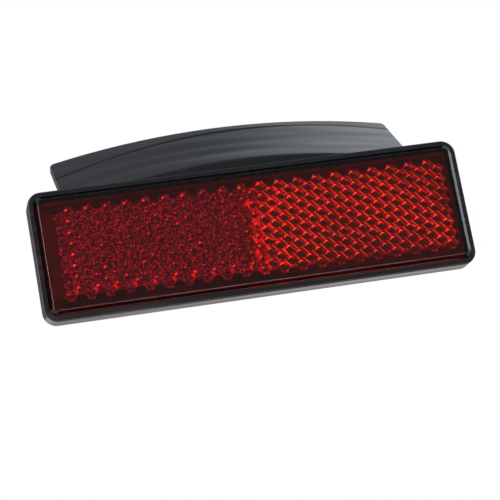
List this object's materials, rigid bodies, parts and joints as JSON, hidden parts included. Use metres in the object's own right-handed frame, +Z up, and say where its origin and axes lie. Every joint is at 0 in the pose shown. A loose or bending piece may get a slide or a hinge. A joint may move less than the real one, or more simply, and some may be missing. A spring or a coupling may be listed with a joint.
{
  "type": "bicycle rear reflector",
  "caption": "Rectangular red corner-cube reflector in a black plastic housing with an arched, sloping stick-on flange behind its top edge.",
  "frame": {"origin": "centre of the housing's flat back face", "axes": "+X along the reflector's length, +Y out of the back face towards the front of the bicycle, +Z up; the lens looks along -Y"},
  "size_m": [0.094, 0.0242, 0.0432],
  "materials": {
    "black_plastic": "gloss moulded black",
    "red_acrylic": "clear red, polished front",
    "black_foam": "closed-cell foam",
    "liner_paper": "smooth coated"
  },
  "bodies": {
    "root": {"housing": "black_plastic", "lens": "red_acrylic", "foam_pad": "black_foam", "release_liner": "liner_paper"}
  },
  "joints": []
}
